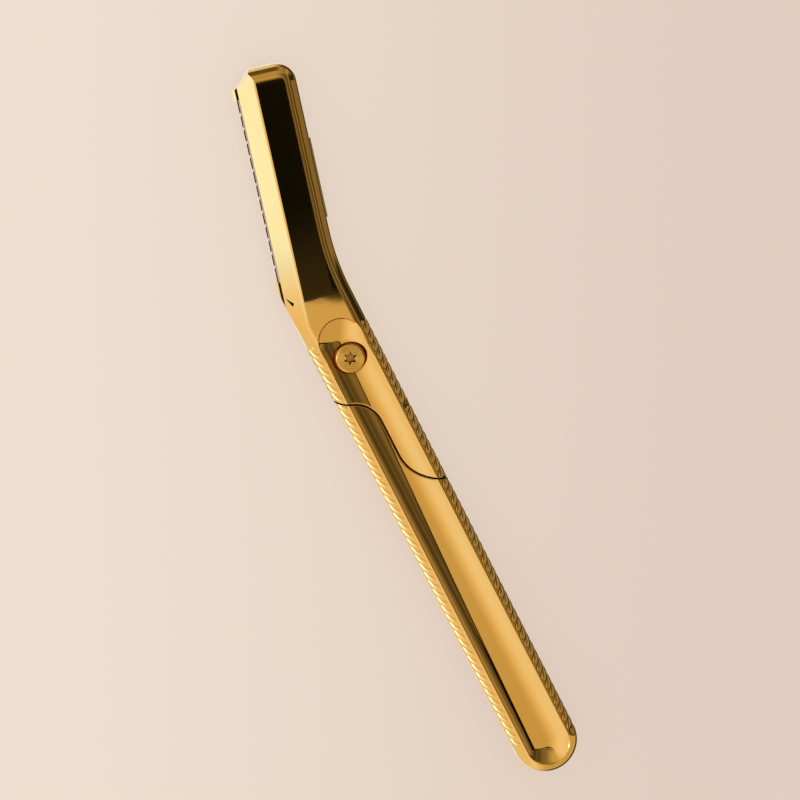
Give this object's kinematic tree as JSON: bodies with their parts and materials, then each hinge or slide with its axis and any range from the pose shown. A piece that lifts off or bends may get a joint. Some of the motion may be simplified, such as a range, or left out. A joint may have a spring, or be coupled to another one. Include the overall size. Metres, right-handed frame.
{
  "type": "eyebrow razor",
  "caption": "Slim polished metal eyebrow razor with a knurled handle, a leaning head and a front jaw that swings open like scissors to take half a snapped double-edge blade.",
  "frame": {"origin": "where the pivot axis meets the flat back that the razor lies on", "axes": "+Z out of the front face along the pivot axis, +Y up the handle towards the head, which leans to +X"},
  "size_m": [0.0227, 0.1572, 0.0071],
  "materials": {
    "polished_gold": "mirror-polished gold plate",
    "gold_screw": "turned and polished gold plate",
    "bush_bronze": "plain bearing bronze",
    "spring_steel": "bright spring steel",
    "bearing_plastic": "plain low-friction plastic",
    "blade_steel": "bright rolled steel with a ground edge",
    "pin_steel": "ground steel",
    "magnet_nickel": "nickel plate"
  },
  "bodies": {
    "handle": {"handle_body": "polished_gold", "pivot_screw": "gold_screw", "thrust_washer": "bearing_plastic", "blade": "blade_steel", "upper_blade_pin": "pin_steel", "lower_blade_pin": "pin_steel", "blade_magnet": "magnet_nickel", "catch_magnet": "magnet_nickel", "stop_pin": "pin_steel"},
    "jaw": {"front_jaw": "polished_gold", "pivot_bush": "bush_bronze", "spring_washer": "spring_steel", "tail_magnet": "magnet_nickel"}
  },
  "joints": [
    {"name": "jaw_swing", "type": "hinge", "parent": "handle", "child": "jaw", "pos_m": [0, 0, 0], "axis": [0, 0, 1], "range_deg": [0, 36]}
  ]
}
